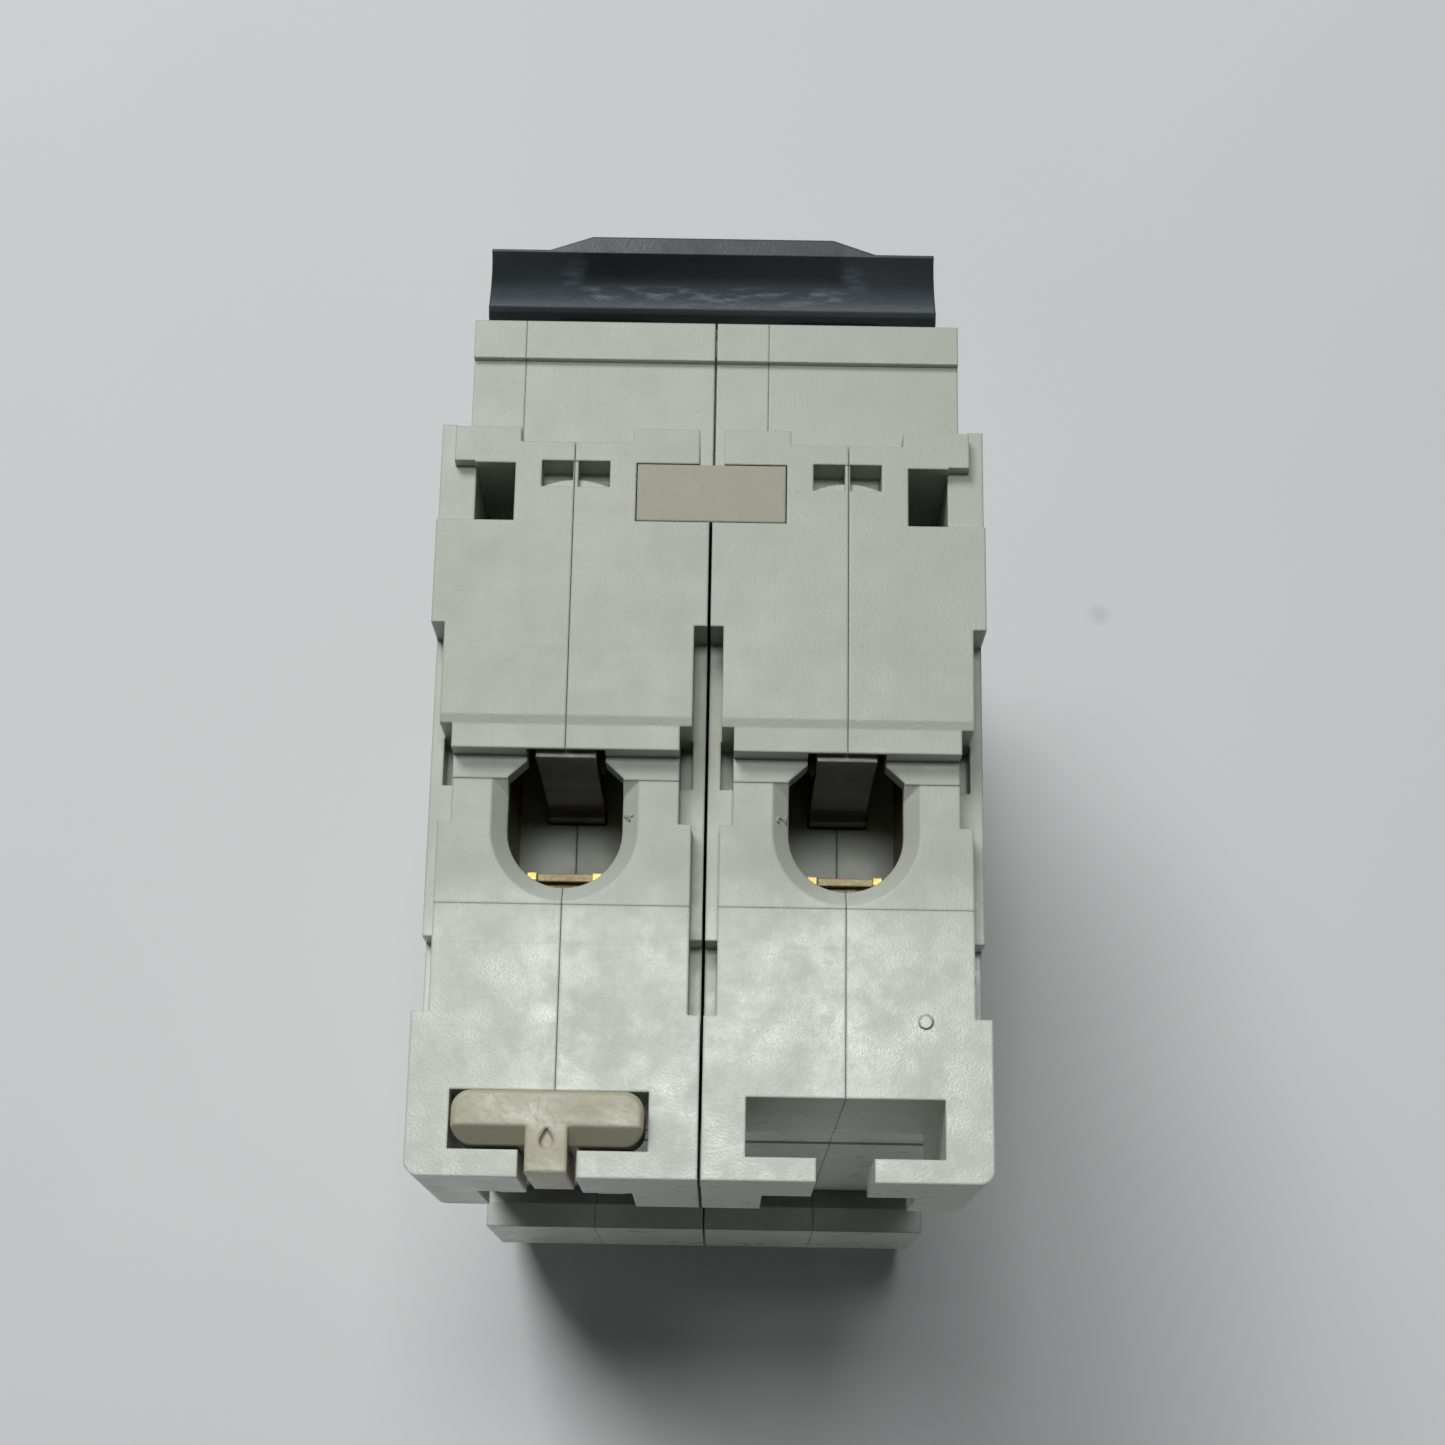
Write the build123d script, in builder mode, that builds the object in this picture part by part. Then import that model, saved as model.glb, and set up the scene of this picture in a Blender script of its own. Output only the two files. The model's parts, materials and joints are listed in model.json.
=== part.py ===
from build123d import *

import os
from math import atan, cos, degrees, pi, radians, sin

# Two-pole residual-current circuit breaker for a 35 mm mounting rail.
# Origin: centre of the rail seat.  +Y towards the rail, -Y is the front with the toggle,
# +Z towards the end with the rail latch, +X towards module A.  All sizes in millimetres.

# ---- driving dimensions -------------------------------------------------------------
TOP = 40.0              # half of the 80 mm between the two end faces
GAP = 0.16              # between the two modules at their fronts
GAP_REAR = 0.2          # and behind the pockets
MODULE = 17.5           # width of one module
CENTRE = (GAP + MODULE) / 2
OUTER = GAP / 2 + MODULE
SEAM = 0.04             # parting line between the half shells of a module
SEAM_BACK = -42.4       # in the nose, in front of this line, the parting line is off centre
SEAM_HALF = 23.2
NOSE_SEAM = 0.02        # and finer
NOSE_SEAMS = {"a": 13.8, "b": 3.85}     # its distance from the middle plane there
WALL = 1.3              # side walls
RIM = 1.5               # walls round the edge

NOSE_HALF = 22.5        # the 45 mm nose that shows through a panel cover
NOSE_FRONT = -58.4
NOSE_BAND = 0.5         # raised band along the nose's front edges
NOSE_BAND_BACK = -55.45
SHOULDER = -42.87       # front face of the terminal shoulders
SHOULDER_DIP = 0.97     # that face is set back between its two blocks

BLOCK_BACK = -40.5      # lines across the end faces, from front to back
POCKET_BACK = -36.45
NOTCH_START = -29.5
BEVEL = -23.5
STRIP = -22.9
RISER = -21.35
RING_START = -19.8
NOTCH_WIDE_END = -17.0
REAR_LINE = -11.8
LIP_START = -5.0
LIP = 5.0               # rear face of the lip that carries the latch
LIP_PROUD = 0.25        # the lip's outer flank stands out by this much

REAR_TOP = 38.2         # height of the end face behind the riser
LIP_BOTTOM = 21.0
HOOK_BACK = 3.3         # rear face of the fixed hook
RAIL_HALF = 17.5        # half of the 35 mm rail
RAIL_SHEET = 1.4        # slot that takes the 1 mm rail flange
SEAT_HALF = 15.4        # the rail seat proper; the back is a little lower beyond it
SEAT_RELIEF = 0.15

TERMINAL_Z = 31.0       # axis of the terminal screws, from the middle
MOUTH_Y = -16.6         # centre of the wire mouth's round end
MOUTH_R = 3.62
CAGE_HALF = 4.65
CAGE_WALL = 0.9
CAGE_FRONT = -27.5
CAGE_BACK = -12.7

PIVOT_Y = -54.0         # toggle pivot
DRUM_R = 7.4
BAR_X = 0.45            # middle of the toggle bar
BAR_HALF = 17.4         # half length of the toggle bar
BAR_FOOT = 12.5         # where its raised middle starts to rise
BAR_RAISED = 9.25       # half length at full height
ARM_Y = -34.0           # contact arm pivot
ARM_Z = -4.0
PIN_R = 1.5
RUNNING = 0.06          # radial clearance of a running fit

SLOT_HALF = 6.06        # T slot for the rail latch
SLOT_FRONT = -0.25
SLOT_BACK = 3.35
SLOT_SHIFTS = {"a": (0.35, 0.0), "b": (0.0, 0.2)}       # off the module's centre, and back
NECK_HALF = 1.78
LATCH_TOP = 39.4

MODULES = {"a": 1, "b": -1}
ENDS = {"latch_end": 1, "hook_end": -1}

os.makedirs("parts", exist_ok=True)


# ---- helpers ------------------------------------------------------------------------
def block(xs, ys, zs, mode=Mode.ADD):
    """Box between pairs of limits, in the BuildPart that is open."""
    limits = [sorted(pair) for pair in (xs, ys, zs)]
    size = [high - low for low, high in limits]
    middle = tuple((low + high) / 2 for low, high in limits)
    with Locations(middle):
        Box(*size, mode=mode)


def rod(centre, radius, length, axis="X", mode=Mode.ADD):
    """Round bar centred on a point, along X, Y or Z."""
    turn = {"X": (0, 90, 0), "Y": (90, 0, 0), "Z": (0, 0, 0)}[axis]
    with Locations(Location(centre, turn)):
        Cylinder(radius, length, mode=mode)


def save(piece, name):
    """Label a finished piece and write its file."""
    piece.part.label = name
    export_step(piece.part, f"parts/{name}.step")


def mirrored(piece):
    """The same piece on the other module."""
    with BuildPart() as other:
        mirror(piece.part, about=Plane.YZ)
    return other


def around_pivot(radius, angle):
    """Point (y, z) at a radius and an angle above the forward axis of the toggle pivot."""
    return (PIVOT_Y - radius * cos(radians(angle)), radius * sin(radians(angle)))


# ---- housing ------------------------------------------------------------------------
def side_outline():
    """Side view of a module as (y, z) corners."""
    band = NOSE_HALF + NOSE_BAND
    return [
        (NOSE_FRONT, -band), (NOSE_BAND_BACK, -band), (NOSE_BAND_BACK, -NOSE_HALF),
        (SHOULDER, -NOSE_HALF), (SHOULDER, -TOP), (-1.0, -TOP),
        (HOOK_BACK, -TOP + 8.0), (HOOK_BACK, -RAIL_HALF + 1.7), (RAIL_SHEET, -RAIL_HALF + 1.7),
        (RAIL_SHEET, -RAIL_HALF - 0.5), (-SEAT_RELIEF, -RAIL_HALF - 0.5), (-SEAT_RELIEF, -SEAT_HALF),
        (0, -SEAT_HALF), (0, SEAT_HALF), (-SEAT_RELIEF, SEAT_HALF), (-SEAT_RELIEF, LIP_BOTTOM),
        (LIP, LIP_BOTTOM), (LIP, REAR_TOP - 0.04), (REAR_LINE, REAR_TOP - 0.04), (REAR_LINE, REAR_TOP),
        (RING_START, REAR_TOP), (RING_START, REAR_TOP + 0.06), (RISER, REAR_TOP + 0.06),
        (RISER, TOP - 0.15), (STRIP, TOP - 0.15), (BEVEL, TOP), (SHOULDER, TOP),
        (SHOULDER, NOSE_HALF), (NOSE_BAND_BACK, NOSE_HALF), (NOSE_BAND_BACK, band),
        (NOSE_FRONT, band),
    ]


def hollow_out():
    """Mechanism space and the two terminal chambers."""
    walls = (GAP / 2 + WALL, OUTER - WALL)
    block(walls, (BLOCK_BACK + 0.5, -RIM), (-22.8, 22.8), Mode.SUBTRACT)
    block(walls, (NOSE_FRONT + RIM, BLOCK_BACK + 0.5), (-14.5, 14.5), Mode.SUBTRACT)
    chamber = (CENTRE - 5.0, CENTRE + 5.0)
    for side in ENDS.values():
        block(chamber, (-40.2, -11.3), (side * 24.6, side * 36.6), Mode.SUBTRACT)
        block((CENTRE - 2.0, CENTRE + 2.0), (RISER, -20.2), (side * 22.0, side * 25.0), Mode.SUBTRACT)


def wire_mouth(side):
    """Round-ended wire entry with a funnel round it."""
    plane = Plane.XY.offset(side * REAR_TOP)
    away = -side
    floor = MOUTH_Y - 3.2
    with BuildSketch(plane) as ring:
        with BuildLine():
            wide = MOUTH_R + 1.0
            Polyline((CENTRE - wide, MOUTH_Y), (CENTRE - wide, floor), (CENTRE + wide, floor),
                     (CENTRE + wide, MOUTH_Y))
            ThreePointArc((CENTRE + wide, MOUTH_Y), (CENTRE, MOUTH_Y + wide), (CENTRE - wide, MOUTH_Y))
        make_face()
    extrude(to_extrude=ring.sketch, amount=away * 0.8, taper=degrees(atan(1.0 / 0.8)),
            mode=Mode.SUBTRACT)
    with BuildSketch(Plane.XY.offset(side * (TOP + 1.0))) as mouth:
        with BuildLine():
            Polyline((CENTRE - MOUTH_R, MOUTH_Y), (CENTRE - MOUTH_R, floor - 0.1),
                     (CENTRE - 2.46, floor - 1.15), (CENTRE - 2.46, RISER), (CENTRE + 2.46, RISER),
                     (CENTRE + 2.46, floor - 1.15), (CENTRE + MOUTH_R, floor - 0.1),
                     (CENTRE + MOUTH_R, MOUTH_Y))
            ThreePointArc((CENTRE + MOUTH_R, MOUTH_Y), (CENTRE, MOUTH_Y + MOUTH_R),
                          (CENTRE - MOUTH_R, MOUTH_Y))
        make_face()
    extrude(to_extrude=mouth.sketch, amount=away * 5.0, mode=Mode.SUBTRACT)
    block((CENTRE - 2.46, CENTRE + 2.46), (RISER - 0.9, RISER + 0.1), (side * 30.0, side * (TOP - 0.4)),
          Mode.SUBTRACT)


def side_notches(side):
    """Stepped recesses in both flanks beside an end face."""
    floor = side * 36.4
    beyond = side * (TOP + 1.0)
    steps = [(NOTCH_START, STRIP, 0.85), (STRIP, NOTCH_WIDE_END, 1.62),
             (NOTCH_WIDE_END, LIP_START, 0.8)]
    for start, end, depth in steps:
        for flank, inward in ((GAP / 2, 1), (OUTER, -1)):
            block((flank - inward, flank + inward * depth), (start, end), (floor, beyond), Mode.SUBTRACT)
    for flank, inward in ((GAP / 2, 1), (OUTER, -1)):
        block((flank + inward * 0.8, flank + inward * 1.62), (STRIP, -19.75), (side * 34.2, floor),
              Mode.SUBTRACT)
        block((flank - inward, flank + inward * 0.8), (-10.0, LIP_START), (side * 34.2, floor),
              Mode.SUBTRACT)


def front_corner(side):
    """Blocks, pockets and screw access at the front of one end."""
    beyond = side * (TOP + 1.0)
    block((5.1, 12.35), (SHOULDER - 1, SHOULDER + SHOULDER_DIP), (side * NOSE_HALF, beyond),
          Mode.SUBTRACT)
    block((0, 0.8), (SHOULDER - 1, BLOCK_BACK), (side * 30.0, beyond), Mode.SUBTRACT)
    block((0, 4.85), (BLOCK_BACK, POCKET_BACK - 0.05), (side * 37.0, beyond), Mode.SUBTRACT)
    block((0, 3.2), (BLOCK_BACK, POCKET_BACK - 0.05), (side * 33.0, side * 37.5), Mode.SUBTRACT)
    block((12.65, 15.27), (BLOCK_BACK + 0.1, POCKET_BACK), (side * 26.0, beyond), Mode.SUBTRACT)
    block((15.27, OUTER + 1), (BLOCK_BACK, POCKET_BACK), (side * 39.0, beyond), Mode.SUBTRACT)
    block((16.6, OUTER + 1), (SHOULDER - 1, BLOCK_BACK), (side * 39.0, beyond), Mode.SUBTRACT)
    double_pocket(side)
    rod((CENTRE, SHOULDER, side * TERMINAL_Z), 3.3, 8.0, "Y", Mode.SUBTRACT)


def double_pocket(side):
    """Two small pockets side by side behind the blocks, with an arched rear wall and a ledge."""
    middle = CENTRE - 0.08
    front = BLOCK_BACK - 0.1
    ledge = -38.8
    left, right = middle - 2.2, middle + 2.2
    block((left, right), (front, ledge), (side * (TOP - 0.5), side * (TOP + 1.0)), Mode.SUBTRACT)
    with BuildSketch(Plane.XY.offset(side * (TOP + 1.0))) as deep:
        with BuildLine():
            Polyline((right, ledge - 0.15), (right, front), (left, front), (left, ledge - 0.15))
            ThreePointArc((left, ledge - 0.15), (middle, ledge - 0.65), (right, ledge - 0.15))
        make_face()
    extrude(to_extrude=deep.sketch, amount=-side * 3.4, mode=Mode.SUBTRACT)
    block((middle - 0.16, middle + 0.16), (front, ledge), (side * 37.0, side * (TOP - 0.05)))


def corner_post(side):
    """Thin post that carries the flank forward past the blocks."""
    block((16.6, OUTER), (SHOULDER - 0.5, SHOULDER), (side * NOSE_HALF, side * 39.0))


def latch_slot(aside, back):
    """T-shaped slot through the lip for the rail latch."""
    middle = CENTRE + aside
    step = SLOT_BACK + back
    height = (LIP_BOTTOM - 1.0, TOP + 1.0)
    block((middle - SLOT_HALF, middle + SLOT_HALF), (SLOT_FRONT + back, step), height, Mode.SUBTRACT)
    block((middle - NECK_HALF, middle + NECK_HALF), (step - 0.1, LIP + 1), height, Mode.SUBTRACT)
    block((middle - 4.9, middle + 4.9), (step - 0.1, LIP + 1), (LIP_BOTTOM - 1.0, 29.6), Mode.SUBTRACT)


def pivot_bosses():
    """Bosses on both side walls that hold the toggle pin and the arm pin."""
    for y, z in ((PIVOT_Y, 0), (ARM_Y, ARM_Z)):
        for flank, inward in ((GAP / 2, 1), (OUTER, -1)):
            rod((flank + inward * 1.75, y, z), 2.8, 1.5)
        rod((CENTRE, y, z), PIN_R, MODULE - 1.2, "X", Mode.SUBTRACT)


def rivet_places():
    """(y, z) of the four rivets of a module."""
    return [(-49.0, 18.5), (-49.0, -18.5), (-6.4, 27.4), (-6.4, -27.4)]


def rivet_holes():
    """Through holes and counterbores for the rivets."""
    for y, z in rivet_places():
        rod((CENTRE, y, z), 1.5, MODULE + 2, "X", Mode.SUBTRACT)
        for flank in (GAP / 2, OUTER):
            rod((flank, y, z), 2.5, 1.2, "X", Mode.SUBTRACT)


def flanks():
    """Lower rear part of the inner flank, panel in the outer one, and webs that close the gap."""
    block((0, GAP_REAR / 2), (POCKET_BACK, LIP + 1), (-TOP - 1, TOP + 1), Mode.SUBTRACT)
    block((OUTER - 0.2, OUTER + 1), (-35.0, -9.5), (-21.0, 21.0), Mode.SUBTRACT)
    block((0.02, GAP / 2 + 0.1), (NOSE_FRONT, -20.0), (-5.0, 5.0))
    block((0.02, GAP / 2 + 0.1), (NOSE_FRONT, SHOULDER), (-NOSE_HALF + 0.5, NOSE_HALF - 0.5))


def lip_flank():
    """The lip's outer flank stands out a little and is rounded at the rear."""
    with BuildSketch(Plane.XY.offset(LIP_BOTTOM)) as pad:
        with BuildLine():
            Polyline((OUTER - 1.5, LIP_START), (OUTER + LIP_PROUD, LIP_START),
                     (OUTER + LIP_PROUD, LIP - 0.9))
            RadiusArc((OUTER + LIP_PROUD, LIP - 0.9), (OUTER + LIP_PROUD - 0.9, LIP), -0.9)
            Polyline((OUTER + LIP_PROUD - 0.9, LIP), (OUTER - 1.5, LIP), (OUTER - 1.5, LIP_START))
        make_face()
    block((OUTER - 1.5, OUTER + 1), (-SEAT_RELIEF, LIP + 1), (LIP_BOTTOM - 1, TOP), Mode.SUBTRACT)
    extrude(to_extrude=pad.sketch, amount=REAR_TOP - 0.04 - LIP_BOTTOM)


def module_shell(slot_shift):
    """One whole module housing, before it is parted at its seam."""
    with BuildPart() as shell:
        with BuildSketch(Plane.YZ.offset(GAP / 2)):
            with BuildLine():
                Polyline(*side_outline(), close=True)
            make_face()
        extrude(amount=MODULE)
        hollow_out()
        pivot_bosses()
        block((CENTRE - 3.9, CENTRE + 3.9), (NOSE_FRONT - 1, NOSE_FRONT + 2), (-7.9, 7.9), Mode.SUBTRACT)
        for side in ENDS.values():
            wire_mouth(side)
            side_notches(side)
            front_corner(side)
            corner_post(side)
        flanks()
        lip_flank()
        latch_slot(*slot_shift)
        rivet_holes()
    return shell


def other_half(outer, nose_seam):
    """Space on the far side of the parting surface, which steps sideways at the nose."""
    play, nose_play = (SEAM / 2, NOSE_SEAM / 2) if outer else (-SEAM / 2, -NOSE_SEAM / 2)
    edge, far = (-1, 40) if outer else (40, -1)
    extends = (nose_seam > CENTRE) == outer
    back = SEAM_BACK + (SEAM / 2 if extends else -SEAM / 2)
    height = SEAM_HALF + (SEAM / 2 if extends else -SEAM / 2)
    with BuildPart() as space:
        block((edge, CENTRE + play), (-80, 20), (-60, 60))
        if extends:
            block((edge, nose_seam + nose_play), (-80, back), (-height, height))
        else:
            block((nose_seam + nose_play, far), (-80, back), (-height, height), Mode.SUBTRACT)
    return space


def half_shell(whole, outer, nose_seam, window_z):
    """One half of a module housing, with its part of the window or button pocket in the nose."""
    with BuildPart() as half:
        add(whole.part)
        block((CENTRE - 3.4, CENTRE + 3.4), (NOSE_FRONT - 1, -52.5), (window_z - 2.5, window_z + 2.5),
              Mode.SUBTRACT)
        add(other_half(outer, nose_seam).part, mode=Mode.SUBTRACT)
    return half


def build_housing():
    for letter, side in MODULES.items():
        whole = module_shell(SLOT_SHIFTS[letter])
        for name, outer in (("outer", True), ("inner", False)):
            half = half_shell(whole, outer, NOSE_SEAMS[letter], side * 18.0)
            save(half if side > 0 else mirrored(half), f"housing_{letter}_{name}")


def build_pole_clips():
    """Plugs that tie the two modules together at both ends."""
    for name, side in ENDS.items():
        with BuildPart() as clip:
            block((-4.78, 4.78), (BLOCK_BACK + 0.06, POCKET_BACK - 0.12), (side * 37.1, side * 39.95))
            block((-3.1, 3.1), (BLOCK_BACK + 0.5, POCKET_BACK - 0.5), (side * 33.2, side * 37.1))
        save(clip, f"pole_clip_{name}")


def build_rivets(letter, side):
    """Tubular rivets with rolled heads, through both half shells."""
    with BuildPart() as rivets:
        for y, z in rivet_places():
            centre = (side * CENTRE, y, z)
            rod(centre, 1.44, MODULE - 0.2, "X")
            for flank in (GAP / 2 + 0.35, OUTER - 0.35):
                rod((side * flank, y, z), 2.3, 0.4, "X")
            rod(centre, 0.8, MODULE + 1, "X", Mode.SUBTRACT)
    save(rivets, f"rivets_{letter}")


# ---- toggle -------------------------------------------------------------------------
def bar_profile(plane, raised):
    """Cross-section of the toggle bar; its raised middle is thicker, with a flat band on top."""
    heel = (-64.5, 12.55)
    tip = (-67.75, 15.45)
    band, front = (1.35, -70.3) if raised else (0.2, -69.4)
    with BuildSketch(plane) as profile:
        with BuildLine():
            ThreePointArc(heel, (-66.4, 13.5), tip)
            Polyline(tip, (tip[0] - band, tip[1]), (front, 12.3), (front - 0.1, 8.0), (-67.8, 5.6),
                     (-64.4, 7.0), (-63.4, 10.6), heel)
        make_face()
    return profile


def build_toggle_bar():
    with BuildPart() as bar:
        middle = bar_profile(Plane.YZ.offset(BAR_X - BAR_RAISED), True)
        extrude(to_extrude=middle.sketch, amount=2 * BAR_RAISED)
        for side in (1, -1):
            low = bar_profile(Plane.YZ.offset(BAR_X + side * BAR_FOOT), False)
            high = bar_profile(Plane.YZ.offset(BAR_X + side * BAR_RAISED), True)
            loft(sections=[low.sketch.face(), high.sketch.face()])
            extrude(to_extrude=low.sketch, amount=side * (BAR_HALF - BAR_FOOT))
            with BuildSketch(Plane.XY.offset(4.0)) as draft:
                with BuildLine():
                    Polyline((BAR_X + side * BAR_HALF, -64.0), (BAR_X + side * (BAR_HALF - 0.75), -70.6),
                             (BAR_X + side * 19.0, -70.6), (BAR_X + side * 19.0, -64.0), close=True)
                make_face()
            extrude(to_extrude=draft.sketch, amount=14.0, mode=Mode.SUBTRACT)
    save(bar, "toggle_bar")
    return bar


def build_toggle_lever(letter, side, bar):
    """Drum on the pivot pin with a neck that ends against the bar."""
    with BuildPart() as lever:
        rod((side * CENTRE, PIVOT_Y, 0), DRUM_R, 7.0)
        with BuildSketch(Plane.YZ.offset(side * CENTRE - 3.5)) as neck:
            with BuildLine():
                Polyline(around_pivot(6.0, 62), around_pivot(15.2, 50), around_pivot(15.2, 31),
                         around_pivot(6.0, 18), close=True)
            make_face()
        extrude(to_extrude=neck.sketch, amount=7.0)
        rod((side * CENTRE, PIVOT_Y, 0), PIN_R + RUNNING, 8.0, "X", Mode.SUBTRACT)
        add(bar.part, mode=Mode.SUBTRACT)
    save(lever, f"toggle_lever_{letter}")


def build_pins(letter, side):
    """Steel pins of the toggle and of the contact arm."""
    for name, y, z in (("toggle_pin", PIVOT_Y, 0), ("arm_pin", ARM_Y, ARM_Z)):
        with BuildPart() as pin:
            rod((side * CENTRE, y, z), PIN_R - 0.02, MODULE - 1.4)
            chamfer(pin.edges().filter_by(GeomType.CIRCLE), 0.2)
        save(pin, f"{name}_{letter}")


# ---- contacts -----------------------------------------------------------------------
def build_contact_arm(letter, side):
    """Moving contact carrier; it swings back towards the fixed contact."""
    with BuildPart() as arm:
        with BuildSketch(Plane.YZ.offset(side * CENTRE - 1.5)):
            with BuildLine():
                Polyline((-37.0, -5.5), (-34.6, -7.2), (-31.4, -6.0), (-28.6, 12.6), (-28.6, 17.4),
                         (-31.2, 17.4), (-33.2, 8.0), close=True)
            make_face()
        extrude(amount=3.0)
        rod((side * CENTRE, ARM_Y, ARM_Z), PIN_R + RUNNING, 8.0, "X", Mode.SUBTRACT)
    save(arm, f"contact_arm_{letter}")
    with BuildPart() as tip:
        rod((side * CENTRE, -28.1, 15.0), 1.7, 1.0, "Y")
    save(tip, f"moving_contact_{letter}")


def build_fixed_contact(letter, side):
    """Copper bar down from the busbar, with its contact button."""
    middle = side * CENTRE
    with BuildPart() as bar:
        block((middle - 1.9, middle + 1.9), (-21.2, -20.3), (9.0, 21.9))
        rod((middle, -21.6, 15.0), 2.0, 0.8, "Y")
    save(bar, f"fixed_contact_{letter}")


# ---- terminals ----------------------------------------------------------------------
def build_terminal(letter, side, end_name, end):
    """Lift clamp: steel cage, captive screw and the busbar plate inside the cage."""
    middle = side * CENTRE
    inner = CAGE_HALF - CAGE_WALL
    with BuildPart() as cage:
        block((middle - CAGE_HALF, middle + CAGE_HALF), (CAGE_FRONT, CAGE_BACK), (end * 26.0, end * 36.0))
        block((middle - inner, middle + inner), (CAGE_FRONT + 3.0, CAGE_BACK - 1.5),
              (end * 25.0, end * 37.0), Mode.SUBTRACT)
        block((middle - inner, middle + inner), (CAGE_BACK - 1.0, CAGE_BACK + 0.1),
              (end * 35.3, end * 36.1), Mode.SUBTRACT)
        rod((middle, CAGE_FRONT + 1.5, end * TERMINAL_Z), 2.5, 6.0, "Y", Mode.SUBTRACT)
        for flank in (1, -1):
            block((middle + flank * 1.75, middle + flank * 2.35), (CAGE_BACK - 1.5, CAGE_BACK - 1.0),
                  (end * 36.0, end * 36.35))
        for step in range(4):
            block((middle - inner, middle + inner), (CAGE_BACK - 1.6, CAGE_BACK - 1.3),
                  (end * (27.6 + 2.0 * step), end * (28.0 + 2.0 * step)), Mode.SUBTRACT)
    save(cage, f"cage_{letter}_{end_name}")
    with BuildPart() as screw:
        rod((middle, -38.7, end * TERMINAL_Z), 3.1, 2.4, "Y")
        rod((middle, -29.9, end * TERMINAL_Z), 2.42, 15.2, "Y")
        for wide, high in ((5.0, 0.9), (0.9, 5.0)):
            block((middle - wide / 2, middle + wide / 2), (-40.0, -38.5),
                  (end * TERMINAL_Z - high / 2, end * TERMINAL_Z + high / 2), Mode.SUBTRACT)
        chamfer(screw.faces().sort_by(Axis.Y)[-1].edges(), 0.4)
    save(screw, f"screw_{letter}_{end_name}")
    with BuildPart() as plate:
        block((middle - 1.9, middle + 1.9), (-21.2, -20.3), (end * 22.0, end * 26.0))
        block((middle - 1.9, middle + 1.9), (-21.9, -21.0), (end * 25.2, end * 39.0))
    save(plate, f"busbar_{letter}_{end_name}")


# ---- short-circuit and overload trip of module A ------------------------------------
def build_arc_chute():
    """Stack of splitter plates between two fibre cheeks."""
    with BuildPart() as plates:
        for step in range(8):
            height = 3.0 + 2.2 * step
            block((3.2, 14.5), (-17.0, -4.0), (height, height + 0.8))
            block((CENTRE - 1.5, CENTRE + 1.5), (-17.5, -13.0), (height - 0.1, height + 0.9),
                  Mode.SUBTRACT)
    save(plates, "arc_chute_plates")
    for name, low in (("inner", 2.2), ("outer", 14.6)):
        with BuildPart() as cheek:
            block((low, low + 0.9), (-17.2, -3.6), (1.8, 20.4))
        save(cheek, f"arc_chute_cheek_{name}")


def build_magnetic_trip():
    """Trip coil on its bobbin, with yoke and plunger."""
    centre = (CENTRE, -14.0, -12.5)
    with BuildPart() as bobbin:
        rod(centre, 3.0, 13.0, "Z")
        for z in (-18.6, -6.4):
            rod((CENTRE, -14.0, z), 4.9, 0.8, "Z")
        rod(centre, 1.85, 20.0, "Z", Mode.SUBTRACT)
    save(bobbin, "coil_bobbin")
    with BuildPart() as coil:
        for turn in range(7):
            with Locations((CENTRE, -14.0, -17.3 + 1.6 * turn)):
                Torus(3.85, 0.75)
    save(coil, "trip_coil")
    with BuildPart() as yoke:
        block((CENTRE - 4.5, CENTRE + 4.5), (-20.4, -19.2), (-21.0, -4.2))
        for z in (-21.0, -5.4):
            block((CENTRE - 4.5, CENTRE + 4.5), (-19.2, -9.6), (z, z + 1.2))
        rod(centre, 2.1, 30.0, "Z", Mode.SUBTRACT)
    save(yoke, "coil_yoke")
    with BuildPart() as plunger:
        rod((CENTRE, -14.0, -11.5), 1.7, 14.0, "Z")
    save(plunger, "coil_plunger")


def build_thermal_trip():
    """Bimetal strip on its foot, and the trip lever that it pushes."""
    with BuildPart() as strip:
        block((CENTRE - 2.0, CENTRE + 2.0), (-27.0, -26.2), (-22.0, -8.0))
        block((CENTRE - 2.0, CENTRE + 2.0), (-26.2, -22.4), (-22.0, -21.0))
    save(strip, "bimetal_strip")
    with BuildPart() as lever:
        with BuildSketch(Plane.YZ.offset(CENTRE - 1.2)):
            with BuildLine():
                Polyline((-43.4, -10.6), (-40.8, -10.6), (-38.4, -12.9), (-31.0, -17.0), (-31.0, -18.6),
                         (-38.8, -14.6), (-40.4, -13.4), (-43.4, -13.4), close=True)
            make_face()
        extrude(amount=2.4)
        rod((CENTRE, -42.0, -12.0), 1.0 + RUNNING, 6.0, "X", Mode.SUBTRACT)
    save(lever, "trip_lever")
    with BuildPart() as pin:
        rod((CENTRE, -42.0, -12.0), 1.0, MODULE - 2 * WALL - 0.1)
    save(pin, "trip_lever_pin")


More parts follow.
